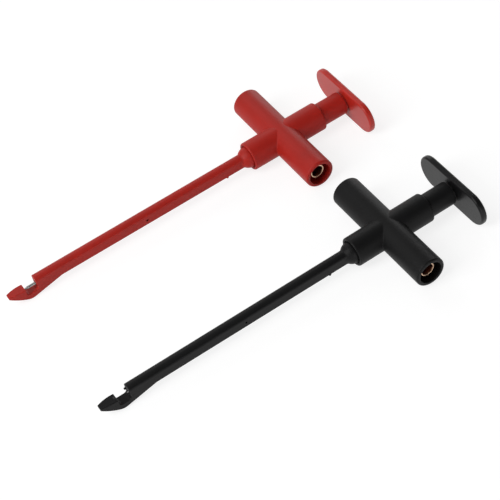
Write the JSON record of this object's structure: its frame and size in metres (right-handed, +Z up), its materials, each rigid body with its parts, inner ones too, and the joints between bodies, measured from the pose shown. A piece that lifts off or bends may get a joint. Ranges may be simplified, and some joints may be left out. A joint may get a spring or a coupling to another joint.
{
  "type": "hook probe pair",
  "caption": "Red and black insulation-piercing hook probes with cross-shaped grips, shrouded test-lead sockets, long hooked shafts and sprung thumb plates.",
  "frame": {"origin": "middle of the pair's outline at the level of the surface that it lies on", "axes": "+X from the hooks to the thumb plates, +Y from the black probe to the red one, +Z up, out of the hooks' mouths"},
  "size_m": [0.1566, 0.117, 0.0138],
  "materials": {
    "red_plastic": "satin moulded nylon, red all through",
    "black_plastic": "satin moulded nylon, black all through",
    "gold_plate": "turned and thinly gold plated, bright",
    "brass": "turned, dull inside the grip",
    "steel": "ground needle and drawn spring wire"
  },
  "bodies": {
    "grips": {"red_cross_body": "red_plastic", "red_socket_contact": "gold_plate", "red_cross_pin": "brass", "red_tail_insert": "brass", "red_needle_rod": "brass", "red_needle": "steel", "red_spring_seat": "brass", "red_return_spring": "steel", "black_cross_body": "black_plastic", "black_socket_contact": "gold_plate", "black_cross_pin": "brass", "black_tail_insert": "brass", "black_needle_rod": "brass", "black_needle": "steel", "black_spring_seat": "brass", "black_return_spring": "steel"},
    "red_plunger": {"red_hook_shaft": "red_plastic", "red_plunger_tube": "red_plastic", "red_thumb_plate": "red_plastic"},
    "black_plunger": {"black_hook_shaft": "black_plastic", "black_plunger_tube": "black_plastic", "black_thumb_plate": "black_plastic"}
  },
  "joints": [
    {"name": "red_plunger_slide", "type": "slide", "parent": "grips", "child": "red_plunger", "axis": [-0.9999, 0, -0.0125], "range_m": [0, 0.0102], "stiffness_N_per_m": 350, "springref_m": -0.006, "deforming": ["red_return_spring"]},
    {"name": "black_plunger_slide", "type": "slide", "parent": "grips", "child": "black_plunger", "axis": [-0.9999, 0, -0.0125], "range_m": [0, 0.0102], "stiffness_N_per_m": 350, "springref_m": -0.006, "deforming": ["black_return_spring"]}
  ]
}
